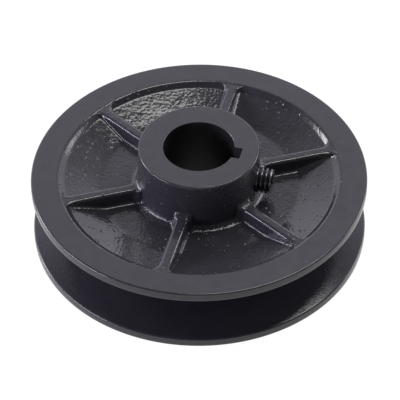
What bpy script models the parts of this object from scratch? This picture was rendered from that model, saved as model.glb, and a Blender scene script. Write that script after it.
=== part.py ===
"""An adjustable (variable-pitch) single-groove V-belt pulley.

One casting carries the hub, the fixed flange and a threaded barrel. The second flange runs on that
thread, so turning it opens or closes the groove. A set screw locks the hub to its shaft key, and
another locks the movable flange to a flat on the barrel.

The bore runs along Z. Z is 0 at the barrel's free end face, and the hub's end face is the highest.
"""

import math

import bmesh
import bpy

MM = 0.001
INCH = 0.0254

# Driving dimensions, in metres.
OUTER_RADIUS = 4.15 * INCH / 2
BORE_RADIUS = 0.875 * INCH / 2
BORE_LENGTH = 1.75 * INCH
KEYWAY_WIDTH = 0.1875 * INCH
KEYWAY_REACH = 13.5 * MM  # from the bore's axis to the keyway's floor
SHAFT_KEY_ANGLE = math.radians(-15)

GROOVE_WIDTH = 22.7 * MM  # over both flanges, as stored
GROOVE_HALF_ANGLE = math.radians(18)
FLANGE_TIP = 2.85 * MM
THREAD_PITCH = INCH / 16
TURNS_EACH_WAY = 2.5
CLOSED_GAP = 0.3 * MM  # between the flanges when the groove is closed
OPEN_GAP = THREAD_PITCH * TURNS_EACH_WAY + CLOSED_GAP

RIM_INNER_RADIUS = 44.1 * MM
POCKET_OUTER_RADIUS = 42.4 * MM
POCKET_SHOULDER = 1.5 * MM  # how far the pocket's outer edge lies below the rim's face
WEB_RADIUS = 31.25 * MM
WEB_DEPTH = 4.9 * MM
EDGE = 0.3 * MM

HUB_HEIGHT = 11.6 * MM  # above the fixed flange's rim
HUB_FACE_RADIUS = 18.8 * MM
HUB_FOOT_RADIUS = 19.6 * MM
HUB_FILLET = 3.0 * MM

BARREL_RADIUS = 1.375 * INCH / 2
BARREL_RELIEF_RADIUS = 16.4 * MM
BARREL_RELIEF_LENGTH = 1.8 * MM
BARREL_FLAT_REACH = 16.3 * MM  # from the bore's axis to each flat
BARREL_FLAT_LENGTH = 20.0 * MM
LOCK_ANGLE = math.radians(255)
RUNNING_GAP = 0.3 * MM

MOVABLE_HUB_PROUD = 8.3 * MM  # beyond the movable flange's rim
MOVABLE_HUB_RADIUS = 26.0 * MM
MOVABLE_HUB_FACE_RADIUS = 25.6 * MM

RIB_COUNT = 6
RIB_HALF_WIDTH = 1.65 * MM
RIB_FLARE_HALF_WIDTH = 2.9 * MM
RIB_DRAFT = math.radians(4.5)
RIB_ROOT_DEPTH = 1.5 * MM  # how far a rib is sunk into the wall below it
RIB_TOP_DROP = 0.05 * MM
RIB_RISE = 3.0 * MM
FIXED_RIB_START = math.radians(15)
MOVABLE_RIB_START = math.radians(45)

SCREW_RADIUS = 0.3125 * INCH / 2
SCREW_LENGTH = 0.375 * INCH
SCREW_TIP_RADIUS = 2.3 * MM
SCREW_CHAMFER = 0.8 * MM
SOCKET_ACROSS_FLATS = 0.15625 * INCH
SOCKET_DEPTH = 4.0 * MM
HUB_SCREW_TIP = 14.0 * MM  # from the bore's axis
HUB_SCREW_ABOVE_RIM = 1.95 * MM
LOCK_SCREW_TIP = BARREL_FLAT_REACH + RUNNING_GAP
LOCK_SCREW_BELOW_RIM = 2.2 * MM

FLANGE_STEPS = 72
SCREW_STEPS = 24
FILLET_STEPS = 4
OVERSHOOT = 1.0 * MM  # how far a cutter runs past what it cuts

# Heights worked out from the driving dimensions.
RIM_Z = BORE_LENGTH - HUB_HEIGHT
GROOVE_MIDDLE_Z = RIM_Z - GROOVE_WIDTH / 2
LOWER_RIM_Z = RIM_Z - GROOVE_WIDTH
LOWER_HUB_Z = LOWER_RIM_Z - MOVABLE_HUB_PROUD
GROOVE_DEPTH_Z = (GROOVE_WIDTH - OPEN_GAP) / 2 - FLANGE_TIP
GROOVE_FLOOR_RADIUS = OUTER_RADIUS - GROOVE_DEPTH_Z / math.tan(GROOVE_HALF_ANGLE)


def clear_scene():
    for obj in list(bpy.data.objects):
        bpy.data.objects.remove(obj, do_unlink=True)


def material(name, colour, metallic, roughness):
    made = bpy.data.materials.new(name)
    made.use_nodes = True
    shader = made.node_tree.nodes["Principled BSDF"]
    shader.inputs["Base Color"].default_value = (*colour, 1.0)
    shader.inputs["Metallic"].default_value = metallic
    shader.inputs["Roughness"].default_value = roughness
    return made


def object_from(mesh_builder, name, finish=None):
    """Turn a filled bmesh into a named object in the scene, closed and facing out."""
    bmesh.ops.remove_doubles(mesh_builder, verts=mesh_builder.verts, dist=1e-7)
    bmesh.ops.recalc_face_normals(mesh_builder, faces=mesh_builder.faces)
    mesh = bpy.data.meshes.new(name)
    mesh_builder.to_mesh(mesh)
    mesh_builder.free()
    mesh.shade_smooth()
    mesh.set_sharp_from_angle(angle=math.radians(30))
    obj = bpy.data.objects.new(name, mesh)
    bpy.context.collection.objects.link(obj)
    if finish:
        mesh.materials.append(finish)
    return obj


def turned(profile, steps):
    """Spin a closed outline of (radius, height) points round the Z axis."""
    mesh_builder = bmesh.new()
    corners = [mesh_builder.verts.new((radius, 0.0, height)) for radius, height in profile]
    edges = [
        mesh_builder.edges.new((corner, corners[(i + 1) % len(corners)]))
        for i, corner in enumerate(corners)
    ]
    bmesh.ops.spin(
        mesh_builder,
        geom=corners + edges,
        axis=(0.0, 0.0, 1.0),
        cent=(0.0, 0.0, 0.0),
        angle=math.tau,
        steps=steps,
        use_merge=True,
    )
    return mesh_builder


def fillet(centre, radius, start, end):
    """Points along an arc in the (radius, height) plane, angles in degrees."""
    points = []
    for i in range(FILLET_STEPS + 1):
        angle = math.radians(start + (end - start) * i / FILLET_STEPS)
        points.append((centre[0] + radius * math.cos(angle), centre[1] + radius * math.sin(angle)))
    return points


def flange_face(rim_z, outward):
    """The outer face of a flange from its web to its edge, where outward is +1 up or -1 down."""
    return [
        (WEB_RADIUS, rim_z - outward * WEB_DEPTH),
        (POCKET_OUTER_RADIUS, rim_z - outward * POCKET_SHOULDER),
        (RIM_INNER_RADIUS, rim_z),
        (OUTER_RADIUS - EDGE, rim_z),
        (OUTER_RADIUS, rim_z - outward * EDGE),
        (OUTER_RADIUS, rim_z - outward * FLANGE_TIP),
    ]


def fixed_profile():
    """Outline of the hub, the fixed flange and the barrel, from the bore's upper edge outwards."""
    groove_z = GROOVE_MIDDLE_Z + OPEN_GAP / 2
    relief_z = groove_z - BARREL_RELIEF_LENGTH
    thread_start_z = relief_z - (BARREL_RADIUS - BARREL_RELIEF_RADIUS)
    web_z = RIM_Z - WEB_DEPTH
    foot = (HUB_FOOT_RADIUS + HUB_FILLET, web_z + HUB_FILLET)
    return [
        (BORE_RADIUS, BORE_LENGTH - EDGE),
        (BORE_RADIUS + EDGE, BORE_LENGTH),
        (HUB_FACE_RADIUS - EDGE, BORE_LENGTH),
        (HUB_FACE_RADIUS, BORE_LENGTH - EDGE),
        *fillet(foot, HUB_FILLET, 180, 270),
        *flange_face(RIM_Z, 1),
        (GROOVE_FLOOR_RADIUS, groove_z),
        (BARREL_RELIEF_RADIUS, groove_z),
        (BARREL_RELIEF_RADIUS, relief_z),
        (BARREL_RADIUS, thread_start_z),
        (BARREL_RADIUS, THREAD_PITCH),
        (BARREL_RADIUS - THREAD_PITCH, 0.0),
        (BORE_RADIUS + EDGE, 0.0),
        (BORE_RADIUS, EDGE),
    ]


def movable_profile():
    """Outline of the movable flange and its hub, from the thread's upper edge outwards."""
    thread_radius = BARREL_RADIUS + RUNNING_GAP
    groove_z = GROOVE_MIDDLE_Z - OPEN_GAP / 2
    web_z = LOWER_RIM_Z + WEB_DEPTH
    foot = (MOVABLE_HUB_RADIUS + HUB_FILLET, web_z - HUB_FILLET)
    return [
        (thread_radius, groove_z - EDGE),
        (thread_radius + EDGE, groove_z),
        (GROOVE_FLOOR_RADIUS, groove_z),
        *reversed(flange_face(LOWER_RIM_Z, -1)),
        *reversed(fillet(foot, HUB_FILLET, 180, 90)),
        (MOVABLE_HUB_FACE_RADIUS, LOWER_HUB_Z + EDGE),
        (MOVABLE_HUB_FACE_RADIUS - EDGE, LOWER_HUB_Z),
        (thread_radius + 2 * EDGE, LOWER_HUB_Z),
        (thread_radius, LOWER_HUB_Z + 2 * EDGE),
    ]


def wall_depth(radius):
    """How deep the pocket's floor lies below the rim's face at this radius."""
    reach = (radius - WEB_RADIUS) / (POCKET_OUTER_RADIUS - WEB_RADIUS)
    share = min(max(reach, 0.0), 1.0)
    return WEB_DEPTH + share * (POCKET_SHOULDER - WEB_DEPTH)


def rib_stations(hub_radius):
    """(radius, rise over the rim, half width) along a rib's top, from inside the hub to the rim."""
    return [
        (hub_radius - 1.5 * MM, RIB_RISE, RIB_HALF_WIDTH),
        (hub_radius, RIB_RISE, RIB_HALF_WIDTH),
        (hub_radius + 1.0 * MM, RIB_RISE * 0.4, RIB_HALF_WIDTH),
        (hub_radius + 3.0 * MM, 0.0, RIB_HALF_WIDTH),
        (POCKET_OUTER_RADIUS - 2.0 * MM, 0.0, RIB_HALF_WIDTH),
        (RIM_INNER_RADIUS, 0.0, RIB_FLARE_HALF_WIDTH),
        (RIM_INNER_RADIUS + 1.5 * MM, 0.0, RIB_FLARE_HALF_WIDTH),
    ]


def rib_section(mesh_builder, station, rim_z, outward, angle):
    """Four corners of a rib's cross-section at one station."""
    radius, rise, half_width = station
    top = rise - RIB_TOP_DROP
    bottom = -(wall_depth(radius) + RIB_ROOT_DEPTH)
    spread = half_width + (top - bottom) * math.tan(RIB_DRAFT)
    corners = []
    for across, height in ((-spread, bottom), (spread, bottom), (half_width, top), (-half_width, top)):
        x = radius * math.cos(angle) - across * math.sin(angle)
        y = radius * math.sin(angle) + across * math.cos(angle)
        corners.append(mesh_builder.verts.new((x, y, rim_z + outward * height)))
    return corners


def ribs(name, hub_radius, rim_z, outward, start):
    """All of a flange's ribs as one helper, to be joined to the flange."""
    mesh_builder = bmesh.new()
    for i in range(RIB_COUNT):
        angle = start + math.tau * i / RIB_COUNT
        rings = [
            rib_section(mesh_builder, station, rim_z, outward, angle)
            for station in rib_stations(hub_radius)
        ]
        for near, far in zip(rings, rings[1:]):
            for j in range(4):
                mesh_builder.faces.new((near[j], near[(j + 1) % 4], far[(j + 1) % 4], far[j]))
        mesh_builder.faces.new(rings[0])
        mesh_builder.faces.new(rings[-1])
    return helper(object_from(mesh_builder, name))


def helper(obj):
    """Keep a cutter or joiner out of the finished model."""
    obj.hide_render = True
    obj.display_type = "WIRE"
    return obj


def box(name, lowest, highest, angle):
    """A helper block between two corners, turned about Z."""
    mesh_builder = bmesh.new()
    bmesh.ops.create_cube(mesh_builder, size=1.0)
    for vertex in mesh_builder.verts:
        for axis in range(3):
            share = vertex.co[axis] + 0.5
            vertex.co[axis] = lowest[axis] + share * (highest[axis] - lowest[axis])
    block = helper(object_from(mesh_builder, name))
    block.rotation_euler[2] = angle
    return block


def radial_hole(name, inner, outer, height, angle):
    """A helper cylinder that cuts a screw's hole in a hub's wall."""
    mesh_builder = bmesh.new()
    bmesh.ops.create_cone(
        mesh_builder,
        cap_ends=True,
        segments=SCREW_STEPS,
        radius1=SCREW_RADIUS + RUNNING_GAP,
        radius2=SCREW_RADIUS + RUNNING_GAP,
        depth=outer - inner,
    )
    hole = helper(object_from(mesh_builder, name))
    middle = (inner + outer) / 2
    hole.location = (middle * math.cos(angle), middle * math.sin(angle), height)
    hole.rotation_euler = (0.0, math.pi / 2, angle)
    return hole


def combine(obj, other, operation):
    modifier = obj.modifiers.new(other.name, "BOOLEAN")
    modifier.operation = operation
    modifier.solver = "EXACT"
    modifier.object = other


def keyway():
    return box(
        "keyway_cutter",
        (0.0, -KEYWAY_WIDTH / 2, -OVERSHOOT),
        (KEYWAY_REACH, KEYWAY_WIDTH / 2, BORE_LENGTH + OVERSHOOT),
        SHAFT_KEY_ANGLE,
    )


def barrel_flat(name, angle):
    return box(
        name,
        (BARREL_FLAT_REACH, -BARREL_RADIUS, -OVERSHOOT),
        (BARREL_RADIUS + OVERSHOOT, BARREL_RADIUS, BARREL_FLAT_LENGTH),
        angle,
    )


def fixed_flange_hub(finish):
    casting = object_from(turned(fixed_profile(), FLANGE_STEPS), "fixed_flange_hub", finish)
    combine(casting, ribs("fixed_ribs", HUB_FOOT_RADIUS, RIM_Z, 1, FIXED_RIB_START), "UNION")
    combine(casting, keyway(), "DIFFERENCE")
    combine(casting, barrel_flat("flat_cutter_near", LOCK_ANGLE), "DIFFERENCE")
    combine(casting, barrel_flat("flat_cutter_far", LOCK_ANGLE + math.pi), "DIFFERENCE")
    hole = radial_hole(
        "hub_screw_hole",
        BORE_RADIUS,
        HUB_FOOT_RADIUS + HUB_FILLET + OVERSHOOT,
        RIM_Z + HUB_SCREW_ABOVE_RIM,
        SHAFT_KEY_ANGLE,
    )
    combine(casting, hole, "DIFFERENCE")
    return casting


def movable_flange(finish):
    casting = object_from(turned(movable_profile(), FLANGE_STEPS), "movable_flange", finish)
    joiner = ribs("movable_ribs", MOVABLE_HUB_RADIUS, LOWER_RIM_Z, -1, MOVABLE_RIB_START)
    combine(casting, joiner, "UNION")
    hole = radial_hole(
        "lock_screw_hole",
        BARREL_RADIUS - OVERSHOOT,
        MOVABLE_HUB_RADIUS + HUB_FILLET + OVERSHOOT,
        LOWER_RIM_Z - LOCK_SCREW_BELOW_RIM,
        LOCK_ANGLE,
    )
    combine(casting, hole, "DIFFERENCE")
    return casting


def screw_profile():
    """Outline of a set screw's body round its own axis, from its tip to its socket end."""
    return [
        (0.0, 0.0),
        (SCREW_TIP_RADIUS, 0.0),
        (SCREW_RADIUS, SCREW_RADIUS - SCREW_TIP_RADIUS),
        (SCREW_RADIUS, SCREW_LENGTH - SCREW_CHAMFER),
        (SCREW_RADIUS - SCREW_CHAMFER, SCREW_LENGTH),
        (0.0, SCREW_LENGTH),
    ]


def set_screw(name, tip, height, angle, finish):
    """A socket set screw that points at the bore's axis, with its origin at its tip."""
    screw = object_from(turned(screw_profile(), SCREW_STEPS), name, finish)
    mesh_builder = bmesh.new()
    bmesh.ops.create_cone(
        mesh_builder,
        cap_ends=True,
        segments=6,
        radius1=SOCKET_ACROSS_FLATS / math.sqrt(3),
        radius2=SOCKET_ACROSS_FLATS / math.sqrt(3),
        depth=2 * SOCKET_DEPTH,
    )
    socket = helper(object_from(mesh_builder, name + "_socket"))
    socket.parent = screw
    socket.location = (0.0, 0.0, SCREW_LENGTH)
    combine(screw, socket, "DIFFERENCE")
    screw.location = (tip * math.cos(angle), tip * math.sin(angle), height)
    screw.rotation_euler = (0.0, math.pi / 2, angle)
    return screw


def build():
    clear_scene()
    fixed_iron = material("black_painted_iron_fixed", (0.022, 0.023, 0.027), 0.0, 0.42)
    movable_iron = material("black_painted_iron_movable", (0.022, 0.023, 0.027), 0.0, 0.45)
    hub_screw_steel = material("black_oxide_hub_screw", (0.018, 0.018, 0.02), 0.9, 0.35)
    lock_screw_steel = material("black_oxide_lock_screw", (0.018, 0.018, 0.02), 0.9, 0.38)
    fixed_flange_hub(fixed_iron)
    movable_flange(movable_iron)
    hub_screw_z = RIM_Z + HUB_SCREW_ABOVE_RIM
    set_screw("hub_set_screw", HUB_SCREW_TIP, hub_screw_z, SHAFT_KEY_ANGLE, hub_screw_steel)
    lock_screw_z = LOWER_RIM_Z - LOCK_SCREW_BELOW_RIM
    set_screw("locking_set_screw", LOCK_SCREW_TIP, lock_screw_z, LOCK_ANGLE, lock_screw_steel)


build()
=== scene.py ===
"""The looks of an adjustable V-belt pulley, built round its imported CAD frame.

Two painted iron castings and two set screws. Each casting is one closed mesh made of rings of points
that run from its hub out over the ribs and the rim, back through the groove, and along its thread.
Lengths are in millimetres until a mesh is placed. Each casting is made with Z 0 at its own rim's face,
and then moved into the frame, where Z is 0 at the barrel's free end.
"""

import math

import bpy
import numpy as np
from mathutils import Euler, Matrix, Vector, noise


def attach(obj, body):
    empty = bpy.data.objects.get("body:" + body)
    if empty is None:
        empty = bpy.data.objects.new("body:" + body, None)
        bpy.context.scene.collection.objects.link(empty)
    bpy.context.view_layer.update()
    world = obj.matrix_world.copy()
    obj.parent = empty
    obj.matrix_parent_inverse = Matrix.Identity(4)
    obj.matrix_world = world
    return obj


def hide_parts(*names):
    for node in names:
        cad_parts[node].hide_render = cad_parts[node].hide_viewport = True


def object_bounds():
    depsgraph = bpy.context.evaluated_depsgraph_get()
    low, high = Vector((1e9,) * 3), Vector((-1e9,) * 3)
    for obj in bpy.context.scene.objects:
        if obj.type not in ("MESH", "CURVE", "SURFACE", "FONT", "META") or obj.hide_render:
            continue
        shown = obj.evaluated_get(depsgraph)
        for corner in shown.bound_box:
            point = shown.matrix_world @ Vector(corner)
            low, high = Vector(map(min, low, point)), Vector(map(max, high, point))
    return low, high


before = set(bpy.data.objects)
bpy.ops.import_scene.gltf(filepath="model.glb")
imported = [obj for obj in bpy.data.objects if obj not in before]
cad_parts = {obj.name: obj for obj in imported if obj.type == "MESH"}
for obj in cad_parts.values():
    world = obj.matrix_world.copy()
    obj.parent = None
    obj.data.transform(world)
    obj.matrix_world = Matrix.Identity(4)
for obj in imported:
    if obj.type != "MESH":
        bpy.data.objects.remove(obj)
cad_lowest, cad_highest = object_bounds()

MM = 0.001
INCH = 25.4

# Sizes read from the frame.
OUTER_RADIUS = cad_highest.x / MM
HUB_TOP = cad_highest.z / MM

# The two castings' shared section.
GROOVE_WIDTH = 22.7
GROOVE_HALF_ANGLE = math.radians(18)
FLANGE_TIP = 2.85
BORE_RADIUS = 0.875 * INCH / 2
KEYWAY_WIDTH = 0.1875 * INCH
KEYWAY_REACH = 13.5
KEY_ANGLE = math.radians(-15)
LOCK_ANGLE = math.radians(255)
RIM_INNER_RADIUS = 44.1
POCKET_OUTER_RADIUS = 42.4
POCKET_SHOULDER = 1.5
WEB_RADIUS = 31.25
WEB_DEPTH = 4.9
HUB_FILLET = 2.0
RIB_END_FILLET = 1.6
HUB_HEIGHT = 11.6
RIM_Z = HUB_TOP - HUB_HEIGHT
LOWER_RIM_Z = RIM_Z - GROOVE_WIDTH
EDGE = 0.3
RIM_EDGE = 0.7
TIP_EDGE = 0.4
HUB_EDGE = 0.5
BORE_EDGE = 0.1
GROOVE_BEND = 1.0
RIM_EDGE_POINTS = 8
FIXED_RIB_ANGLE = math.radians(15)
MOVABLE_RIB_ANGLE = math.radians(-45)

# Where the plain flats have a ring of points, and how far before a rounded edge the last one is.
HUB_FACE_RING = 14.0
MOVABLE_FACE_RING = 20.5
RIM_FACE_RING = 49.0
INNER_FLAT_RING = 24.0
EDGE_LEAD = 0.2
HUB_EDGE_LEAD = 0.15

# The barrel's thread, 1-3/8 by 16, and the set screws' thread, 5/16 by 18.
BARREL_RADIUS = 1.375 * INCH / 2
BARREL_PITCH = INCH / 16
BARREL_FLAT_REACH = 16.3
BARREL_FLAT_TOP = 20.0
RELIEF_RADIUS = 16.4
RELIEF_LENGTH = 1.8
RELIEF_CORNER = 0.5
CLOSED_GAP = 0.3
OPEN_GAP = 2.5 * BARREL_PITCH + CLOSED_GAP
SCREW_RADIUS = 0.3125 * INCH / 2
SCREW_PITCH = INCH / 18
SCREW_LENGTH = 0.375 * INCH
THREAD_DEPTH = 0.6134  # times the pitch
THREAD_GAP = 0.3
THREAD_INSET = 0.05

# The set screws' ends and sockets, and where the screws sit.
SCREW_CUP_RADIUS = 2.3
SCREW_CUP_EDGE = 0.25
SCREW_CUP_DEPTH = 0.9
SCREW_FACE_RADIUS = 3.65
SCREW_FACE_LEAD = 0.15
SOCKET_MOUTH_RADIUS = 2.7
SOCKET_FLATS = 0.15625 * INCH
SOCKET_CHAMFER = 0.35
SOCKET_DEPTH = 3.6
SOCKET_DRILL_DEPTH = 4.3
MIDDLE_RING = 0.3
HUB_SCREW_TIP = 14.0
HUB_SCREW_Z = RIM_Z + 1.95
LOCK_SCREW_TIP = 16.6
LOCK_SCREW_Z = LOWER_RIM_Z - 2.2

# The cutters. Each screw hole's pair says how far from the axis the hole starts, and its broken edge.
HOLE_CLEARANCE = 0.1
HUB_HOLE = (12.0, 19.25)
LOCK_HOLE = (16.0, 25.7)
HOLE_COLUMNS = 64
COUNTERSINK = 3.0
OVERSHOOT = 5
FLAT_CUT_END = 24
FLAT_CUT_HALF_WIDTH = 20

# Ribs.
RIB_COUNT = 6
RIB_HALF_WIDTH = 1.65
RIB_LEAN = math.tan(math.radians(4.5))
RIB_TOP_ROUND = 0.85
RIB_DROP = 0.2  # from the rim's turned face down to the ribs' cast tops
RIB_FOOT_ROUND = 0.9
RIB_RIM_FILLET = 3.0
RIB_HUB_FILLET = 2.2
RIB_RISE = 0.6  # how far a rib's top takes to rise to the rim's face
RIB_FLARE_LEAD = 0.8  # how much further out than its fillet a rib starts to widen towards the hub
FLARE_LIMIT = 0.87  # the share of a fillet's radius that is followed before it gets too steep
TOP_ROUND_SHARE = 0.35  # the most of a low rib's height that its rounded top takes
FOOT_ROUND_SHARE = 0.5
LEAST_SIDE = 0.2  # keeps the columns apart where a rib runs out into the rim

# How many columns of points lie over each stretch between a rib's middle and its pocket's middle.
TOP_COLUMNS, ROUND_COLUMNS, SIDE_COLUMNS, FOOT_COLUMNS, FLOOR_COLUMNS = 5, 3, 6, 5, 41
HALF_COLUMNS = TOP_COLUMNS + ROUND_COLUMNS + SIDE_COLUMNS + FOOT_COLUMNS + FLOOR_COLUMNS
FINE_COLUMNS = 2 * RIB_COUNT * HALF_COLUMNS
COARSE_COLUMNS = FINE_COLUMNS // 2
THREAD_COLUMNS = FINE_COLUMNS // 4

# How far apart the pocket's rings are, over its floor and over the step up to the rim, and where the
# closer ones start before the step and end beyond it.
FLOOR_STEP = 0.48
SHOULDER_STEP = 0.18
SHOULDER_LEAD = 0.6
FLOOR_END_GAP = 0.2
POCKET_RINGS_END = 44.6

# The bends of the pocket's floor are eased by averaging over this far each way, and less near the step.
FLOOR_EASE = 0.8
STEP_EASE = 0.35
NEAR_STEP = 1.5
EASE_SAMPLES = 9

# The hub's wall turns into its fillet at this slope, and its cast unevenness grows over the top sixth.
STEEPEST = math.radians(87)
FILLET_RINGS = 8
WALL_FADE = 6

# The rim's first rings: each one's radius, and its share of the swing from the ribs' columns to even ones.
RIM_RINGS = ((44.75, 0.0), (45.0, 0.1), (46.0, 0.5), (47.2, 1.0))

# Sand-cast unevenness: where it ends, its least strength on the ribs, and each set of waves' size, depth
# and shift, which sets it apart from the rest.
CAST_END_RADIUS = 43.5
LEAST_CAST = 0.15
CAST_WAVES = (
    (8.0, 0.05, Vector((0, 0, 0))),
    (2.6, 0.022, Vector((31, 7, 5))),
)

# The order of each casting's material slots.
MACHINED, CAST, GROOVE, BORE, ROUNDED = range(5)


# Rings and the meshes made from them.


class Shell:
    """Rings of points, and for each the material of the strip that starts there and how rough it's cast."""

    def __init__(self):
        self.rings = []
        self.materials = []
        self.roughness = []

    def add(self, points, material, roughness=0.0):
        self.rings.append(np.asarray(points, float))
        self.materials.append(material)
        self.roughness.append(np.broadcast_to(roughness, len(points)).astype(float))

    def lathe(self, profile, columns, material, start=0.0):
        """Add plain round rings through (radius, height) points."""
        for radius, height in profile:
            self.add(circle(radius, height, even_angles(columns, start)), material)

    def faces(self, closed):
        """Faces between each ring and the next, joining the last to the first if closed."""
        starts = np.cumsum([0] + [len(ring) for ring in self.rings])
        faces, slots = [], []
        pairs = len(self.rings) if closed else len(self.rings) - 1
        for i in range(pairs):
            j = (i + 1) % len(self.rings)
            strip = strip_faces(starts[i], len(self.rings[i]), starts[j], len(self.rings[j]))
            faces += strip
            slots += [self.materials[i]] * len(strip)
        if not closed:
            faces += fan_faces(starts[0], len(self.rings[0]), starts[-1], True)
            faces += fan_faces(starts[-2], len(self.rings[-1]), starts[-1] + 1, False)
            slots += [self.materials[0]] * len(self.rings[0])
            slots += [self.materials[-1]] * len(self.rings[-1])
        return faces, slots

    def mesh(self, name, closed=True):
        """Skin the rings. An open stack of rings is closed by a point at the middle of each end."""
        points = np.concatenate(self.rings)
        if not closed:
            ends = [self.rings[0].mean(axis=0), self.rings[-1].mean(axis=0)]
            points = np.concatenate([points, ends])
        faces, slots = self.faces(closed)
        mesh = bpy.data.meshes.new(name)
        mesh.from_pydata(points.tolist(), [], faces)
        mesh.polygons.foreach_set("material_index", slots)
        mesh.update()
        if signed_volume(mesh) < 0:
            mesh.flip_normals()
        return mesh


def strip_faces(first, first_count, second, second_count):
    """Faces between two rings with the same number of points, or with half as many on one side."""
    if first_count == second_count:
        return [
            (first + k, first + (k + 1) % first_count, second + (k + 1) % second_count, second + k)
            for k in range(first_count)
        ]
    if first_count > second_count:
        return [
            (
                first + 2 * k,
                first + 2 * k + 1,
                first + (2 * k + 2) % first_count,
                second + (k + 1) % second_count,
                second + k,
            )
            for k in range(second_count)
        ]
    turned_over = strip_faces(second, second_count, first, first_count)
    return [face[::-1] for face in turned_over]


def fan_faces(first, count, middle, starts_stack):
    """Triangles from a ring to a point at its middle."""
    fan = [(first + k, first + (k + 1) % count, middle) for k in range(count)]
    return [face[::-1] for face in fan] if starts_stack else fan


def signed_volume(mesh):
    corners = np.empty(len(mesh.vertices) * 3)
    mesh.vertices.foreach_get("co", corners)
    corners = corners.reshape(-1, 3)
    mesh.calc_loop_triangles()
    triangles = np.empty(len(mesh.loop_triangles) * 3, np.int32)
    mesh.loop_triangles.foreach_get("vertices", triangles)
    return np.linalg.det(corners[triangles.reshape(-1, 3)]).sum()


def even_angles(count, start=0.0):
    return start + math.tau * np.arange(count) / count


def circle(radius, height, angles):
    """Points round the axis. Radius and height are single numbers or one for each angle."""
    radius = np.broadcast_to(radius, angles.shape)
    height = np.broadcast_to(height, angles.shape)
    return np.stack([radius * np.cos(angles), radius * np.sin(angles), height], axis=1)


def stretch(start, end, count):
    """Even points from start up to, and not including, end."""
    share = (np.arange(count) / count)[:, None]
    return np.asarray(start) + (np.asarray(end) - np.asarray(start)) * share


def smooth(share):
    """The same share, with a gentle start and end."""
    return share * share * (3 - 2 * share)


def rounded(start, corner, end, count):
    """Points on a parabola that rounds off a corner, from start up to, and not including, end."""
    share = (np.arange(count) / count)[:, None]
    start, corner, end = (np.asarray(point, float) for point in (start, corner, end))
    return (1 - share) ** 2 * start + 2 * share * (1 - share) * corner + share**2 * end


# The ribbed outer face of a flange, with Z 0 at the rim's face and the hub standing up.


def pocket_depth(radius):
    """Depth of the pocket's floor below the rim's face, with its bends eased."""
    reach = FLOOR_EASE if radius < POCKET_OUTER_RADIUS - NEAR_STEP else STEP_EASE
    depths = np.interp(
        radius + np.linspace(-reach, reach, EASE_SAMPLES),
        [WEB_RADIUS, POCKET_OUTER_RADIUS, RIM_INNER_RADIUS],
        [WEB_DEPTH, POCKET_SHOULDER, 0.0],
    )
    return float(depths.mean())


def rib_top_depth(radius):
    """Depth of a rib's top below the rim's face, rising to it at the rim's edge."""
    share = np.clip((RIM_INNER_RADIUS + RIB_RISE / 2 - radius) / RIB_RISE, 0.0, 1.0)
    return float(RIB_DROP * smooth(share))


def flare(distance, fillet):
    """How far a fillet of this radius has spread at this distance along it."""
    reach = np.clip(distance, 0.0, FLARE_LIMIT * fillet)
    return fillet - np.sqrt(fillet**2 - reach**2)


def rib_half_width(radius, hub_radius):
    """Half a rib's width at its top, which spreads at the rim and at the hub."""
    to_rim = radius - (RIM_INNER_RADIUS - RIB_RIM_FILLET)
    to_hub = hub_radius + RIB_HUB_FILLET + RIB_FLARE_LEAD - radius
    return RIB_HALF_WIDTH + flare(to_rim, RIB_RIM_FILLET) + flare(to_hub, RIB_HUB_FILLET)


def rib_section(radius, hub_radius, start):
    """Angles and drops below the rib's top of every column at one radius, all the way round."""
    top = rib_top_depth(radius)
    depth = max(pocket_depth(radius), top)
    half = rib_half_width(radius, hub_radius)
    round_drop = min(RIB_TOP_ROUND, TOP_ROUND_SHARE * (depth - top))
    foot_rise = min(RIB_FOOT_ROUND, FOOT_ROUND_SHARE * (depth - top))
    foot = half + depth * RIB_LEAN + LEAST_SIDE
    top_end = (half - RIB_TOP_ROUND, top)
    side_start = (half + LEAST_SIDE / 2, top + round_drop)
    side_end = (foot - LEAST_SIDE / 2, depth - foot_rise)
    floor_start = (foot + RIB_FOOT_ROUND, depth)
    across = np.concatenate(
        [
            stretch((0.0, top), top_end, TOP_COLUMNS),
            rounded(top_end, (half, top), side_start, ROUND_COLUMNS),
            stretch(side_start, side_end, SIDE_COLUMNS),
            rounded(side_end, (foot, depth), floor_start, FOOT_COLUMNS),
        ]
    )
    sector = math.pi / RIB_COUNT
    floor = np.linspace(math.asin(floor_start[0] / radius), sector, FLOOR_COLUMNS + 1)
    angles = np.concatenate([np.arcsin(across[:, 0] / radius), floor])
    drops = np.concatenate([across[:, 1], np.full(len(floor), depth)])
    sector_angles = np.concatenate([angles[:-1], 2 * sector - angles[:0:-1]])
    sector_drops = np.concatenate([drops[:-1], drops[:0:-1]])
    turns = np.repeat(np.arange(RIB_COUNT) * 2 * sector, len(sector_angles))
    return start + turns + np.tile(sector_angles, RIB_COUNT), np.tile(sector_drops, RIB_COUNT)


def hub_fillet(drops):
    """The hub's fillet is small on the ribs' tops and grows towards the floor."""
    share = np.clip((drops - RIB_DROP) / (WEB_DEPTH - RIB_DROP), 0.0, 1.0)
    return RIB_END_FILLET + (HUB_FILLET - RIB_END_FILLET) * share


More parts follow.
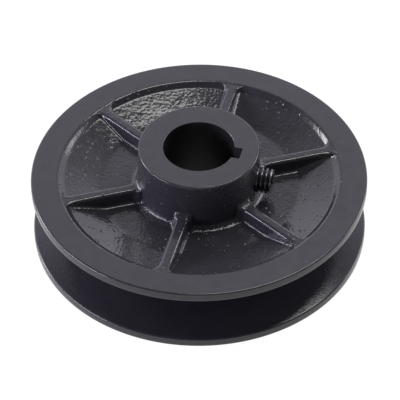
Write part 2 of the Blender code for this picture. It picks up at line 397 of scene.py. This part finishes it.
def hub_wall(shell, hub, start):
    """The hub's cast wall, from its top edge down to its fillet, flowing into the ribs and the floor."""
    rise = hub["height"] + WEB_DEPTH

    def wall_radius(height):
        return hub["foot"] + (hub["face"] - hub["foot"]) * (height + WEB_DEPTH) / rise

    angles, drops = rib_section(hub["foot"] + HUB_FILLET * (1 - math.sin(STEEPEST)), hub["foot"], start)
    lowest = hub_fillet(drops) * (1 - math.cos(STEEPEST)) - drops
    even = even_angles(FINE_COLUMNS, start)
    top = hub["height"] - HUB_EDGE
    for share in np.linspace(1, 0, hub["wall_rings"], endpoint=False):
        height = lowest + (top - lowest) * share
        fade = min(1.0, (1 - share) * WALL_FADE)
        turned = angles + (even - angles) * smooth(share)
        shell.add(circle(wall_radius(height), height, turned), CAST, fade)
    for slope in np.linspace(STEEPEST, 0, FILLET_RINGS):
        section = hub["foot"] + HUB_FILLET * (1 - math.sin(slope))
        angles, drops = rib_section(section, hub["foot"], start)
        fillet = hub_fillet(drops)
        end = wall_radius(fillet * (1 - math.cos(STEEPEST)) - drops)
        foot_ring = hub["foot"] + fillet
        radius = foot_ring - (foot_ring - end) * math.sin(slope) / math.sin(STEEPEST)
        shell.add(circle(radius, fillet * (1 - math.cos(slope)) - drops, angles), CAST, 1.0)


def pocket_rings(shell, hub, start):
    """The web, the sloping floor, the ribs and the rough shoulder, out to the machined rim."""
    inner = hub["foot"] + HUB_FILLET + FLOOR_STEP
    shoulder = POCKET_OUTER_RADIUS - SHOULDER_LEAD
    floor = np.arange(inner, shoulder - FLOOR_END_GAP, FLOOR_STEP)
    radii = np.concatenate([floor, np.arange(shoulder, POCKET_RINGS_END, SHOULDER_STEP)])
    for radius in radii:
        angles, drops = rib_section(radius, hub["foot"], start)
        cast = np.clip(drops - RIB_DROP, LEAST_CAST, 1.0) if radius < CAST_END_RADIUS else 0.0
        shell.add(circle(radius, -drops, angles), CAST, cast)
    last = shell.rings[-1]
    angles = np.arctan2(last[:, 1], last[:, 0])
    even = even_angles(FINE_COLUMNS, start)
    swing = (even - angles + math.pi) % math.tau - math.pi
    for radius, share in RIM_RINGS:
        shell.add(circle(radius, 0.0, angles + swing * share), MACHINED)


def edge_points(before, corner, after, count=6):
    """A rounded edge from one point to another round a corner."""
    return [tuple(point) for point in rounded(before, corner, after, count)] + [tuple(after)]


def hub_edge(shell, hub, start):
    """The rounded edge between the hub's face and its cast wall."""
    face, top = hub["face"], hub["height"]
    shell.lathe([(face - HUB_EDGE - HUB_EDGE_LEAD, top)], FINE_COLUMNS, MACHINED, start)
    edge = edge_points((face - HUB_EDGE, top), (face, top), (face, top - HUB_EDGE))
    shell.lathe(edge[:-1], FINE_COLUMNS, ROUNDED, start)


def rim_and_groove(shell, start):
    """The rim's face, its edges, the groove's wall and the flat that faces the other flange.

    It returns that flat's height.
    """
    outer = OUTER_RADIUS
    tip = -FLANGE_TIP
    drop = (GROOVE_WIDTH - OPEN_GAP) / 2 - FLANGE_TIP
    slope = math.tan(GROOVE_HALF_ANGLE)
    floor_radius = outer - drop / slope
    flat = tip - drop
    face = [(RIM_FACE_RING, 0.0), (outer - RIM_EDGE - EDGE_LEAD, 0.0)]
    shell.lathe(face, COARSE_COLUMNS, MACHINED, start)
    rim_edge = edge_points((outer - RIM_EDGE, 0.0), (outer, 0.0), (outer, -RIM_EDGE), RIM_EDGE_POINTS)
    shell.lathe(rim_edge[:-1], COARSE_COLUMNS, ROUNDED, start)
    shell.lathe(rim_edge[-1:], COARSE_COLUMNS, GROOVE, start)
    tip_edge = edge_points((outer, tip + TIP_EDGE), (outer, tip), (outer - TIP_EDGE, tip - TIP_EDGE * slope))
    shell.lathe(tip_edge, COARSE_COLUMNS, ROUNDED, start)
    wall_start = (outer - TIP_EDGE - EDGE_LEAD, tip - (TIP_EDGE + EDGE_LEAD) * slope)
    shell.lathe([wall_start], COARSE_COLUMNS, GROOVE, start)
    for share in (0.25, 0.5, 0.75):
        radius = outer + (floor_radius - outer) * share
        shell.lathe([(radius, tip - drop * share)], COARSE_COLUMNS, GROOVE, start)
    bend = edge_points(
        (floor_radius + GROOVE_BEND, flat + GROOVE_BEND * slope),
        (floor_radius, flat),
        (floor_radius - GROOVE_BEND, flat),
    )
    shell.lathe(bend, COARSE_COLUMNS, GROOVE, start)
    return flat


def thread_share(height, angles, pitch, root, crest):
    """Height of a right-hand thread, 0 at its root and 1 at its crest, with flats as shares of the pitch."""
    phase = (height / pitch - angles / math.tau) % 1.0
    return np.clip((np.abs(2 * phase - 1) - root) / (1 - root - crest), 0.0, 1.0)


def thread_rings(shell, ends, limit, start, thread):
    """Rings along a screw thread, with limit(height, radius) shaping its ends.

    A negative depth cuts into a wall.
    """
    angles = even_angles(thread["columns"], start)
    top, bottom = ends
    count = round(abs(top - bottom) / thread["pitch"] * thread["rings"])
    for height in np.linspace(top, bottom, count + 1):
        share = thread_share(height, angles, thread["pitch"], thread["root"], thread["crest"])
        threaded = thread["radius"] - thread["depth"] * (1 - share)
        shell.add(circle(limit(height, threaded), height, angles), thread["material"])


def cast_texture(mesh, shell):
    """Push the cast parts in and out like sand-cast iron, without passing the rim's face at Z 0."""
    weight = np.concatenate(shell.roughness)
    count = len(mesh.vertices)
    points, normals = np.empty(count * 3), np.empty(count * 3)
    mesh.vertices.foreach_get("co", points)
    mesh.vertices.foreach_get("normal", normals)
    points, normals = points.reshape(-1, 3), normals.reshape(-1, 3)
    for i in np.flatnonzero(weight):
        place = Vector(points[i])
        push = sum(depth * noise.noise(place / size + shift) for size, depth, shift in CAST_WAVES)
        points[i] += normals[i] * weight[i] * push
        if place.z <= 0.0:
            points[i, 2] = min(points[i, 2], 0.0)
    mesh.vertices.foreach_set("co", points.ravel())
    mesh.update()


# Castings.


BARREL_THREAD = {
    "pitch": BARREL_PITCH,
    "root": 0.25,
    "crest": 0.125,
    "rings": 8,
    "columns": THREAD_COLUMNS,
    "material": BORE,
}
SCREW_THREAD = {
    "pitch": SCREW_PITCH,
    "root": 0.0,
    "crest": 0.3,
    "rings": 16,
    "columns": 72,
    "material": 0,
}
FIXED_HUB = {"foot": 19.6, "face": 18.8, "height": HUB_HEIGHT, "wall_rings": 16}
MOVABLE_HUB = {"foot": 26.0, "face": 25.6, "height": 8.3, "wall_rings": 16}


def fixed_casting_mesh():
    """The keyed hub, the fixed flange and the threaded barrel, with Z 0 at the rim's face."""
    start = FIXED_RIB_ANGLE
    shell = Shell()
    top, bottom = HUB_HEIGHT, -RIM_Z
    mouth = [(BORE_RADIUS, top - BORE_EDGE), (BORE_RADIUS + BORE_EDGE, top)]
    shell.lathe(mouth, THREAD_COLUMNS, MACHINED, start)
    shell.lathe([(HUB_FACE_RING, top)], COARSE_COLUMNS, MACHINED, start)
    hub_edge(shell, FIXED_HUB, start)
    hub_wall(shell, FIXED_HUB, start)
    pocket_rings(shell, FIXED_HUB, start)
    flat = rim_and_groove(shell, start)
    relief_end = flat - RELIEF_LENGTH
    shell.lathe([(INNER_FLAT_RING, flat)], COARSE_COLUMNS, GROOVE, start)
    shell.lathe([(RELIEF_RADIUS + RELIEF_CORNER, flat)], THREAD_COLUMNS, GROOVE, start)
    shell.lathe([(RELIEF_RADIUS, flat - RELIEF_CORNER)], THREAD_COLUMNS, BORE, start)

    def limit(height, radius):
        end = BARREL_RADIUS - BARREL_PITCH + (height - bottom)
        return np.minimum(radius, min(end, RELIEF_RADIUS + (relief_end - height)))

    thread = {**BARREL_THREAD, "radius": BARREL_RADIUS, "depth": THREAD_DEPTH * BARREL_PITCH}
    thread_rings(shell, (relief_end, bottom), limit, start, thread)
    shell.lathe([(BORE_RADIUS + EDGE, bottom), (BORE_RADIUS, bottom + EDGE)], THREAD_COLUMNS, BORE, start)
    mesh = shell.mesh("fixed_casting")
    cast_texture(mesh, shell)
    return mesh


def movable_casting_mesh():
    """The second flange and its threaded hub, with Z 0 at the rim's face and the hub standing up."""
    start = MOVABLE_RIB_ANGLE
    shell = Shell()
    top = MOVABLE_HUB["height"]
    thread_radius = BARREL_RADIUS + THREAD_GAP
    flare_out = 2 * EDGE
    shell.lathe([(thread_radius + flare_out, top)], THREAD_COLUMNS, MACHINED, start)
    shell.lathe([(MOVABLE_FACE_RING, top)], COARSE_COLUMNS, MACHINED, start)
    hub_edge(shell, MOVABLE_HUB, start)
    hub_wall(shell, MOVABLE_HUB, start)
    pocket_rings(shell, MOVABLE_HUB, start)
    flat = rim_and_groove(shell, start)
    shell.lathe([(INNER_FLAT_RING, flat)], COARSE_COLUMNS, GROOVE, start)
    shell.lathe([(thread_radius + flare_out, flat)], THREAD_COLUMNS, BORE, start)

    def limit(height, radius):
        mouth = thread_radius + flare_out - min(top - height, height - flat)
        return np.maximum(radius, mouth)

    thread = {**BARREL_THREAD, "radius": thread_radius, "depth": -THREAD_DEPTH * BARREL_PITCH}
    thread_rings(shell, (flat + THREAD_INSET, top - THREAD_INSET), limit, start, thread)
    mesh = shell.mesh("movable_casting")
    cast_texture(mesh, shell)
    return mesh


def set_screw_mesh():
    """A socket set screw along Z, from its cup point at Z 0 to its hex socket."""
    columns = SCREW_THREAD["columns"]
    shell = Shell()
    cup = SCREW_CUP_RADIUS
    shell.lathe([(MIDDLE_RING, SCREW_CUP_DEPTH), (cup - SCREW_CUP_EDGE, 0.0), (cup, 0.0)], columns, 0)

    def limit(height, radius):
        return np.minimum(radius, min(cup + height, SCREW_FACE_RADIUS + SCREW_LENGTH - height))

    thread = {**SCREW_THREAD, "radius": SCREW_RADIUS, "depth": THREAD_DEPTH * SCREW_PITCH}
    thread_rings(shell, (THREAD_INSET, SCREW_LENGTH - SCREW_FACE_LEAD), limit, 0.0, thread)
    shell.lathe([(SCREW_FACE_RADIUS, SCREW_LENGTH), (SOCKET_MOUTH_RADIUS, SCREW_LENGTH)], columns, 0)
    angles = even_angles(columns)
    corner = SOCKET_FLATS / 2 / np.cos((angles + math.pi / 6) % (math.pi / 3) - math.pi / 6)
    for height in (SCREW_LENGTH - SOCKET_CHAMFER, SCREW_LENGTH - SOCKET_DEPTH):
        shell.add(circle(corner, height, angles), 0)
    shell.lathe([(MIDDLE_RING, SCREW_LENGTH - SOCKET_DRILL_DEPTH)], columns, 0)
    return shell.mesh("set_screw", closed=False)


def block_mesh(name, lowest, highest):
    """A plain cutting block."""
    corners = [
        (x, y, z)
        for z in (lowest[2], highest[2])
        for y in (lowest[1], highest[1])
        for x in (lowest[0], highest[0])
    ]
    faces = [(0, 2, 3, 1), (4, 5, 7, 6), (0, 1, 5, 4), (2, 6, 7, 3), (0, 4, 6, 2), (1, 3, 7, 5)]
    mesh = bpy.data.meshes.new(name)
    mesh.from_pydata(corners, [], faces)
    mesh.update()
    return mesh


def hole_mesh(inner, edge):
    """A round cutter along X for a set screw's hole, whose outer end flares to break the hole's edge."""
    radius = SCREW_RADIUS + HOLE_CLEARANCE
    shell = Shell()
    profile = [(radius, inner), (radius, edge), (radius + COUNTERSINK, edge + COUNTERSINK)]
    shell.lathe(profile, HOLE_COLUMNS, 0)
    mesh = shell.mesh("hole", closed=False)
    mesh.transform(Matrix.Rotation(math.pi / 2, 4, "Y"))
    return mesh


def placed(name, mesh, matrix, materials):
    """An object whose mesh is moved to its place and scaled to metres."""
    mesh.transform(Matrix.Scale(MM, 4) @ matrix)
    obj = bpy.data.objects.new(name, mesh)
    bpy.context.scene.collection.objects.link(obj)
    for finish in materials:
        mesh.materials.append(finish)
    return obj


def cut(obj, mesh, matrix):
    """Cut a mesh out of an object for good."""
    cutter = placed("cutter", mesh, matrix, obj.data.materials)
    modifier = obj.modifiers.new("cut", "BOOLEAN")
    modifier.operation = "DIFFERENCE"
    modifier.solver = "MANIFOLD"
    modifier.object = cutter
    graph = bpy.context.evaluated_depsgraph_get()
    result = bpy.data.meshes.new_from_object(obj.evaluated_get(graph))
    obj.modifiers.clear()
    old = obj.data
    obj.data = result
    bpy.data.meshes.remove(old)
    bpy.data.objects.remove(cutter)


def soften(obj, sharp_degrees=32):
    obj.data.shade_smooth()
    obj.data.set_sharp_from_angle(angle=math.radians(sharp_degrees))


def turned_about_z(angle):
    return Matrix.Rotation(angle, 4, "Z")


def fixed_casting(materials):
    obj = placed("fixed_casting", fixed_casting_mesh(), Matrix.Translation((0, 0, RIM_Z)), materials)
    keyway_start = (0, -KEYWAY_WIDTH / 2, -OVERSHOOT)
    keyway = block_mesh("keyway", keyway_start, (KEYWAY_REACH, KEYWAY_WIDTH / 2, HUB_TOP + OVERSHOOT))
    cut(obj, keyway, turned_about_z(KEY_ANGLE))
    flat_start = (BARREL_FLAT_REACH, -FLAT_CUT_HALF_WIDTH, -OVERSHOOT)
    for angle in (LOCK_ANGLE, LOCK_ANGLE + math.pi):
        flat = block_mesh("flat", flat_start, (FLAT_CUT_END, FLAT_CUT_HALF_WIDTH, BARREL_FLAT_TOP))
        cut(obj, flat, turned_about_z(angle))
    cut(obj, hole_mesh(*HUB_HOLE), turned_about_z(KEY_ANGLE) @ Matrix.Translation((0, 0, HUB_SCREW_Z)))
    soften(obj)
    return obj


def movable_casting(materials):
    matrix = Matrix.Translation((0, 0, LOWER_RIM_Z)) @ Matrix.Rotation(math.pi, 4, "X")
    obj = placed("movable_casting", movable_casting_mesh(), matrix, materials)
    cut(obj, hole_mesh(*LOCK_HOLE), turned_about_z(LOCK_ANGLE) @ Matrix.Translation((0, 0, LOCK_SCREW_Z)))
    soften(obj)
    return obj


def set_screw(name, tip, height, angle, finish):
    place = Matrix.Translation((tip * math.cos(angle), tip * math.sin(angle), height))
    aim = Euler((0.0, math.pi / 2, angle)).to_matrix().to_4x4()
    obj = placed(name, set_screw_mesh(), place @ aim, [finish])
    soften(obj, 40)
    return obj


# Materials.


class Nodes:
    """A material's node tree, with short ways to add to it."""

    def __init__(self, name):
        self.material = bpy.data.materials.new(name)
        self.material.use_nodes = True
        self.tree = self.material.node_tree
        self.shader = self.tree.nodes["Principled BSDF"]
        self.place = self.add("ShaderNodeTexCoord").outputs["Object"]

    def add(self, kind, **settings):
        node = self.tree.nodes.new(kind)
        for key, value in settings.items():
            setattr(node, key, value)
        return node

    def link(self, source, target):
        self.tree.links.new(source, target)

    def math(self, operation, a, b=0.0, c=0.0):
        node = self.add("ShaderNodeMath", operation=operation)
        for socket, value in zip(node.inputs, (a, b, c)):
            if isinstance(value, bpy.types.NodeSocket):
                self.link(value, socket)
            else:
                socket.default_value = value
        return node.outputs[0]

    def noise(self, size_mm, detail=2.0, roughness=0.5):
        """Noise whose features are about this many millimetres across."""
        node = self.add("ShaderNodeTexNoise")
        node.inputs["Scale"].default_value = 1.0 / (size_mm * MM)
        node.inputs["Detail"].default_value = detail
        node.inputs["Roughness"].default_value = roughness
        self.link(self.place, node.inputs["Vector"])
        return node.outputs["Fac"]

    def spread(self, value, low, high, to_low, to_high, interpolation="LINEAR"):
        node = self.add("ShaderNodeMapRange", interpolation_type=interpolation)
        self.link(value, node.inputs["Value"])
        settings = (("From Min", low), ("From Max", high), ("To Min", to_low), ("To Max", to_high))
        for key, number in settings:
            node.inputs[key].default_value = number
        return node.outputs[0]

    def blend(self, share, first, second):
        node = self.add("ShaderNodeMix", data_type="RGBA")
        self.link(share, node.inputs["Factor"])
        for socket, colour in ((node.inputs[6], first), (node.inputs[7], second)):
            if isinstance(colour, bpy.types.NodeSocket):
                self.link(colour, socket)
            else:
                socket.default_value = (*colour, 1.0)
        return node.outputs[2]

    def bump(self, height, depth_mm, strength=1.0, below=None):
        node = self.add("ShaderNodeBump")
        node.inputs["Strength"].default_value = strength
        node.inputs["Distance"].default_value = depth_mm * MM
        self.link(height, node.inputs["Height"])
        if below is not None:
            self.link(below, node.inputs["Normal"])
        return node.outputs["Normal"]

    def radius(self):
        """Distance from the bore's axis, in metres."""
        flat = self.add("ShaderNodeVectorMath", operation="MULTIPLY")
        flat.inputs[1].default_value = (1.0, 1.0, 0.0)
        self.link(self.place, flat.inputs[0])
        length = self.add("ShaderNodeVectorMath", operation="LENGTH")
        self.link(flat.outputs["Vector"], length.inputs[0])
        return length.outputs["Value"]

    def uneven_roughness(self, size_mm, detail, least, most):
        """Set a roughness that wanders between two values."""
        roughness = self.spread(self.noise(size_mm, detail), 0.3, 0.7, least, most)
        self.link(roughness, self.shader.inputs["Roughness"])

    def turning_marks(self, spacing_mm, wander=0.6):
        """Fine rings round the axis, as a lathe leaves, from 0 to 1."""
        turns = self.math("MULTIPLY", self.radius(), math.tau / (spacing_mm * MM))
        wobble = self.math("MULTIPLY", self.noise(9.0), wander)
        wave = self.math("SINE", self.math("ADD", turns, wobble))
        return self.math("MULTIPLY_ADD", wave, 0.5, 0.5)

    def specks(self, spacing_mm, size_mm, share, shift):
        """Sparse round spots, 1 at the middle and 0 outside, kept in roughly this share of the cells."""
        moved = self.add("ShaderNodeVectorMath", operation="ADD")
        moved.inputs[1].default_value = (shift, shift, shift)
        self.link(self.place, moved.inputs[0])
        cells = self.add("ShaderNodeTexVoronoi")
        cells.inputs["Scale"].default_value = 1.0 / (spacing_mm * MM)
        self.link(moved.outputs["Vector"], cells.inputs["Vector"])
        reach = 0.5 * size_mm / spacing_mm
        spots = self.spread(cells.outputs["Distance"], 0.0, reach, 1.0, 0.0, "SMOOTHSTEP")
        chosen = self.math("LESS_THAN", cells.outputs["Color"], share)
        return self.math("MULTIPLY", spots, chosen)


PAINT = (0.0280, 0.0274, 0.0328)
PAINT_PALE = (0.0322, 0.0315, 0.0375)
GROOVE_PAINT = (0.0195, 0.0190, 0.0245)
GROOVE_PALE = (0.0225, 0.0220, 0.0280)
# Painted shade: the bore's and the threads' colour is far darker than the paint elsewhere, standing in for
# the shade inside the bore.
BORE_SHADED_PAINT = (0.006, 0.006, 0.0062)
BORE_SHADED_PALE = (0.009, 0.009, 0.0092)
# Painted shade: the pits' near-black colour stands in for the shade inside them.
PIT_SHADE = (0.003, 0.003, 0.0035)
# Pale specks: partly dust and partly painted glints, standing in for light caught by small paint nibs.
DUST_AND_GLINT = (0.42, 0.41, 0.40)
OXIDE = (0.08, 0.078, 0.083)
OXIDE_PALE = (0.14, 0.137, 0.145)
FLOOR_DARK = (0.03, 0.03, 0.03)
FLOOR_PALE = (0.04, 0.04, 0.04)
FLOOR_GLOW = 0.98

# Where the cast paint changes, in metres from the axis: where each change starts and where it ends.
HUB_ZONE_END = (0.0206, 0.0218)
STEP_ZONE_START = (0.0420, 0.0424)
STEP_ZONE_END = (0.0440, 0.0444)

# On the step by the rim, how much of the paint's orange peel is lost, and how strong the sand's grain is.
STEP_CALM = 0.55
STEP_SAND = 0.35


def finish_paint(nodes, colour, pale, dust_and_glints, shaded_pits):
    """Set a slowly varying paint colour, with painted shade in the pits and a few pale specks that are partly
    dust and partly painted glints.
    """
    mottled = nodes.blend(nodes.spread(nodes.noise(6.0, 3.0), 0.35, 0.65, 0.0, 1.0), colour, pale)
    pit_shaded = nodes.blend(shaded_pits, mottled, PIT_SHADE)
    nodes.link(nodes.blend(dust_and_glints, pit_shaded, DUST_AND_GLINT), nodes.shader.inputs["Base Color"])


def machined_paint():
    nodes = Nodes("satin_paint_machined")
    dust_and_glints = nodes.specks(spacing_mm=3.0, size_mm=0.3, share=0.25, shift=0.01)
    shaded_pits = nodes.specks(spacing_mm=5.0, size_mm=0.5, share=0.2, shift=0.02)
    finish_paint(nodes, PAINT, PAINT_PALE, dust_and_glints, shaded_pits)
    nodes.uneven_roughness(3.0, 4.0, least=0.30, most=0.38)
    rings = nodes.bump(nodes.turning_marks(1.3, wander=2.5), depth_mm=0.011, strength=0.6)
    grain = nodes.bump(nodes.noise(0.5, 3.0), depth_mm=0.012, strength=0.5, below=rings)
    nodes.link(grain, nodes.shader.inputs["Normal"])
    return nodes.material


def cast_paint():
    nodes = Nodes("gloss_paint_cast")
    cluster = nodes.spread(nodes.noise(16.0, 1.0), 0.42, 0.58, 0.0, 1.0)
    # These pits are sunk by a bump and also painted near-black as shade.
    shaded_pits = nodes.math("MULTIPLY", nodes.specks(spacing_mm=2.0, size_mm=0.75, share=0.8, shift=0.03), cluster)
    nibs = nodes.specks(spacing_mm=2.2, size_mm=1.0, share=0.8, shift=0.04)
    # Bigger, brighter specks on the cast paint: partly dust, partly painted glints where nibs catch the
    # light.
    dust_and_glints = nodes.specks(spacing_mm=2.6, size_mm=0.42, share=0.5, shift=0.05)
    finish_paint(nodes, PAINT, PAINT_PALE, dust_and_glints, shaded_pits)
    nodes.uneven_roughness(1.5, 3.0, least=0.10, most=0.18)
    hub, step = zones(nodes)
    calm = nodes.math("MULTIPLY_ADD", step, -STEP_CALM, 1.0)
    peel = nodes.bump(nodes.math("MULTIPLY", nodes.noise(1.0, 0.6), calm), depth_mm=0.066)
    raised = nodes.bump(nibs, depth_mm=0.11, below=peel)
    sunk = nodes.bump(shaded_pits, depth_mm=-0.15, below=raised)
    sanded = nodes.math("MULTIPLY_ADD", step, STEP_SAND, hub)
    sand = nodes.math("MULTIPLY", nodes.noise(0.45, 2.0), sanded)
    nodes.link(nodes.bump(sand, depth_mm=0.08, below=sunk), nodes.shader.inputs["Normal"])
    return nodes.material


def zones(nodes):
    """Two masks: the keyed hub's wall and foot, and the steep step by the rim."""
    hub = nodes.spread(nodes.radius(), *HUB_ZONE_END, 1.0, 0.0)
    inside = nodes.spread(nodes.radius(), *STEP_ZONE_START, 0.0, 1.0)
    outside = nodes.spread(nodes.radius(), *STEP_ZONE_END, 1.0, 0.0)
    return hub, nodes.math("MULTIPLY", inside, outside)


def rounded_paint():
    nodes = Nodes("gloss_paint_edges")
    dust_and_glints = nodes.specks(spacing_mm=3.0, size_mm=0.3, share=0.25, shift=0.11)
    shaded_pits = nodes.specks(spacing_mm=5.0, size_mm=0.5, share=0.2, shift=0.12)
    finish_paint(nodes, PAINT, PAINT_PALE, dust_and_glints, shaded_pits)
    nodes.uneven_roughness(2.0, 3.0, least=0.12, most=0.2)
    grain = nodes.bump(nodes.noise(0.7, 2.0), depth_mm=0.012, strength=0.6)
    nodes.link(grain, nodes.shader.inputs["Normal"])
    return nodes.material


def groove_paint():
    nodes = Nodes("satin_paint_groove")
    dust_and_glints = nodes.specks(spacing_mm=3.0, size_mm=0.3, share=0.25, shift=0.06)
    shaded_pits = nodes.specks(spacing_mm=5.0, size_mm=0.3, share=0.05, shift=0.07)
    finish_paint(nodes, GROOVE_PAINT, GROOVE_PALE, dust_and_glints, shaded_pits)
    nodes.shader.inputs["Specular IOR Level"].default_value = 0.4
    nodes.shader.inputs["Anisotropic"].default_value = 0.5
    tangent = nodes.add("ShaderNodeTangent", direction_type="RADIAL", axis="Z")
    nodes.link(tangent.outputs["Tangent"], nodes.shader.inputs["Tangent"])
    nodes.uneven_roughness(3.0, 4.0, least=0.15, most=0.21)
    rings = nodes.bump(nodes.turning_marks(0.35), depth_mm=0.004, strength=0.6)
    grain = nodes.bump(nodes.noise(0.8, 2.0), depth_mm=0.09, strength=0.7, below=rings)
    nodes.link(grain, nodes.shader.inputs["Normal"])
    return nodes.material


# Painted shade: the bore and the threads are coloured much darker than the paint, for the shade inside the
# bore.
def shaded_bore_paint():
    nodes = Nodes("bore_with_painted_shade")
    dust_and_glints = nodes.specks(spacing_mm=3.0, size_mm=0.3, share=0.2, shift=0.08)
    shaded_pits = nodes.specks(spacing_mm=5.0, size_mm=0.5, share=0.2, shift=0.09)
    finish_paint(nodes, BORE_SHADED_PAINT, BORE_SHADED_PALE, dust_and_glints, shaded_pits)
    nodes.shader.inputs["Specular IOR Level"].default_value = 0.3
    nodes.uneven_roughness(2.0, 3.0, least=0.32, most=0.5)
    grain = nodes.bump(nodes.noise(0.6, 3.0), depth_mm=0.02, strength=0.5)
    nodes.link(grain, nodes.shader.inputs["Normal"])
    return nodes.material


def black_oxide():
    nodes = Nodes("black_oxide_steel")
    nodes.shader.inputs["Metallic"].default_value = 0.85
    share = nodes.spread(nodes.noise(1.2, 3.0), 0.35, 0.65, 0.0, 1.0)
    nodes.link(nodes.blend(share, OXIDE, OXIDE_PALE), nodes.shader.inputs["Base Color"])
    nodes.uneven_roughness(0.8, 3.0, least=0.20, most=0.30)
    grain = nodes.bump(nodes.noise(0.35, 2.0), depth_mm=0.01, strength=0.5)
    nodes.link(grain, nodes.shader.inputs["Normal"])
    return nodes.material


def floor_material():
    nodes = Nodes("pale_floor")
    share = nodes.spread(nodes.noise(60.0, 3.0), 0.3, 0.7, 0.0, 1.0)
    nodes.link(nodes.blend(share, FLOOR_DARK, FLOOR_PALE), nodes.shader.inputs["Base Color"])
    nodes.shader.inputs["Roughness"].default_value = 0.8
    nodes.shader.inputs["Emission Color"].default_value = (1.0, 1.0, 1.0, 1.0)
    nodes.shader.inputs["Emission Strength"].default_value = FLOOR_GLOW
    return nodes.material


# Camera, light and floor.


SENSOR_WIDTH = 36.0
LENS = 217.0
CLIP_END = 10.0
CAMERA_ELEVATION = math.radians(43.92)
CAMERA_DISTANCE = 763.4
CAMERA_TARGET = Vector((0.235, 0.0, RIM_Z - 11.49))
CAMERA_ROLL = -0.009


def camera():
    """A long lens that looks down on the rim's plane at about 44 degrees."""
    data = bpy.data.cameras.new("camera")
    data.sensor_width = SENSOR_WIDTH
    data.lens = LENS
    data.clip_end = CLIP_END
    obj = bpy.data.objects.new("camera", data)
    bpy.context.scene.collection.objects.link(obj)
    offset = Vector((0.0, -math.cos(CAMERA_ELEVATION), math.sin(CAMERA_ELEVATION))) * CAMERA_DISTANCE
    look = (-offset).to_track_quat("-Z", "Y").to_matrix().to_4x4()
    roll = Matrix.Rotation(CAMERA_ROLL, 4, "Z")
    obj.matrix_world = Matrix.Translation((CAMERA_TARGET + offset) * MM) @ look @ roll
    bpy.context.scene.camera = obj


AIM = Vector((0.0, 0.0, 0.03))

# Each softbox's direction from the pulley, the way its width runs, its distance, width and height in metres,
# its radiance and its colour.
SOFTBOXES = {
    "overhead": ((0.235, 0.195, 0.952), (0.87, 0.5, 0.0), 0.75, 0.45, 0.25, 7.6, (1.0, 0.975, 0.95)),
    "left": ((-0.858, 0.345, 0.385), (0.37, 0.93, 0.0), 0.80, 0.22, 0.20, 15.0, (1.0, 0.98, 1.0)),
    "left_low": ((-0.97, 0.18, 0.19), (0.18, 0.97, 0.0), 0.90, 0.40, 0.36, 5.0, (1.0, 0.98, 1.25)),
    "left_front": ((-0.915, -0.333, 0.22), (-0.34, 0.94, 0.0), 0.85, 0.46, 0.21, 14.0, (0.97, 0.95, 1.2)),
    "right": ((0.891, 0.34, 0.27), (-0.36, 0.93, 0.0), 0.80, 0.34, 0.34, 5.0, (1.0, 0.985, 1.05)),
}


# The room's colour, and how bright it is along each axis: from and to where it changes, and from and to what.
ROOM_COLOUR = (1.0, 0.975, 1.1, 1.0)
ROOM_RAMPS = {"Y": (-0.1, 0.5, 0.12, 1.0), "Z": (0.52, 0.86, 1.4, 0.2)}

# The floor's half width and how far it is below the pulley, in metres.
FLOOR_REACH = 3.0
FLOOR_DROP = 0.0002


def softbox(name, direction, along, distance, width, height, radiance, colour):
    """A rectangular light that faces the pulley."""
    data = bpy.data.lights.new(name, "AREA")
    data.shape = "RECTANGLE"
    data.size = width
    data.size_y = height
    data.energy = radiance * math.pi * width * height
    data.color = colour
    obj = bpy.data.objects.new(name, data)
    bpy.context.scene.collection.objects.link(obj)
    direction = Vector(direction).normalized()
    upward = direction.cross(Vector(along)).normalized()
    turn = Matrix((upward.cross(direction), upward, direction)).transposed().to_4x4()
    obj.matrix_world = Matrix.Translation(AIM + direction * distance) @ turn
    obj.visible_camera = False


def surroundings():
    """A room that is dark on the camera's side and bright low down behind the pulley."""
    world = bpy.data.worlds.new("studio")
    world.use_nodes = True
    nodes = world.node_tree.nodes
    links = world.node_tree.links
    background = nodes["Background"]
    background.inputs["Color"].default_value = ROOM_COLOUR
    place = nodes.new("ShaderNodeTexCoord")
    parts = nodes.new("ShaderNodeSeparateXYZ")
    links.new(place.outputs["Generated"], parts.inputs[0])
    product = nodes.new("ShaderNodeMath")
    product.operation = "MULTIPLY"
    for socket, (axis, limits) in zip(product.inputs, ROOM_RAMPS.items()):
        ramp = nodes.new("ShaderNodeMapRange")
        links.new(parts.outputs[axis], ramp.inputs["Value"])
        for key, number in zip(("From Min", "From Max", "To Min", "To Max"), limits):
            ramp.inputs[key].default_value = number
        links.new(ramp.outputs[0], socket)
    links.new(product.outputs[0], background.inputs["Strength"])
    bpy.context.scene.world = world


def studio():
    scene = bpy.context.scene
    scene.view_settings.view_transform = "Standard"
    surroundings()
    for name, settings in SOFTBOXES.items():
        softbox(name, *settings)
    mesh = bpy.data.meshes.new("floor")
    reach = FLOOR_REACH
    corners = [(-reach, -reach, 0), (reach, -reach, 0), (reach, reach, 0), (-reach, reach, 0)]
    mesh.from_pydata(corners, [], [(0, 1, 2, 3)])
    floor = bpy.data.objects.new("floor", mesh)
    scene.collection.objects.link(floor)
    mesh.materials.append(floor_material())
    floor.location.z = -FLOOR_DROP


def build():
    camera()
    studio()
    iron = [machined_paint(), cast_paint(), groove_paint(), shaded_bore_paint(), rounded_paint()]
    steel = black_oxide()
    fixed = fixed_casting(iron)
    movable = movable_casting(iron)
    hub_screw = set_screw("hub_screw", HUB_SCREW_TIP, HUB_SCREW_Z, KEY_ANGLE, steel)
    lock_screw = set_screw("locking_screw", LOCK_SCREW_TIP, LOCK_SCREW_Z, LOCK_ANGLE, steel)
    stands = (
        (fixed, "fixed_flange_hub", "fixed_half", "painted_cast_iron"),
        (movable, "movable_flange", "movable_half", "painted_cast_iron"),
        (hub_screw, "hub_set_screw", "hub_screw", "black_oxide_steel"),
        (lock_screw, "locking_set_screw", "locking_screw", "black_oxide_steel"),
    )
    for piece, node, body, slot in stands:
        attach(piece, body)
        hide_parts(node)


build()
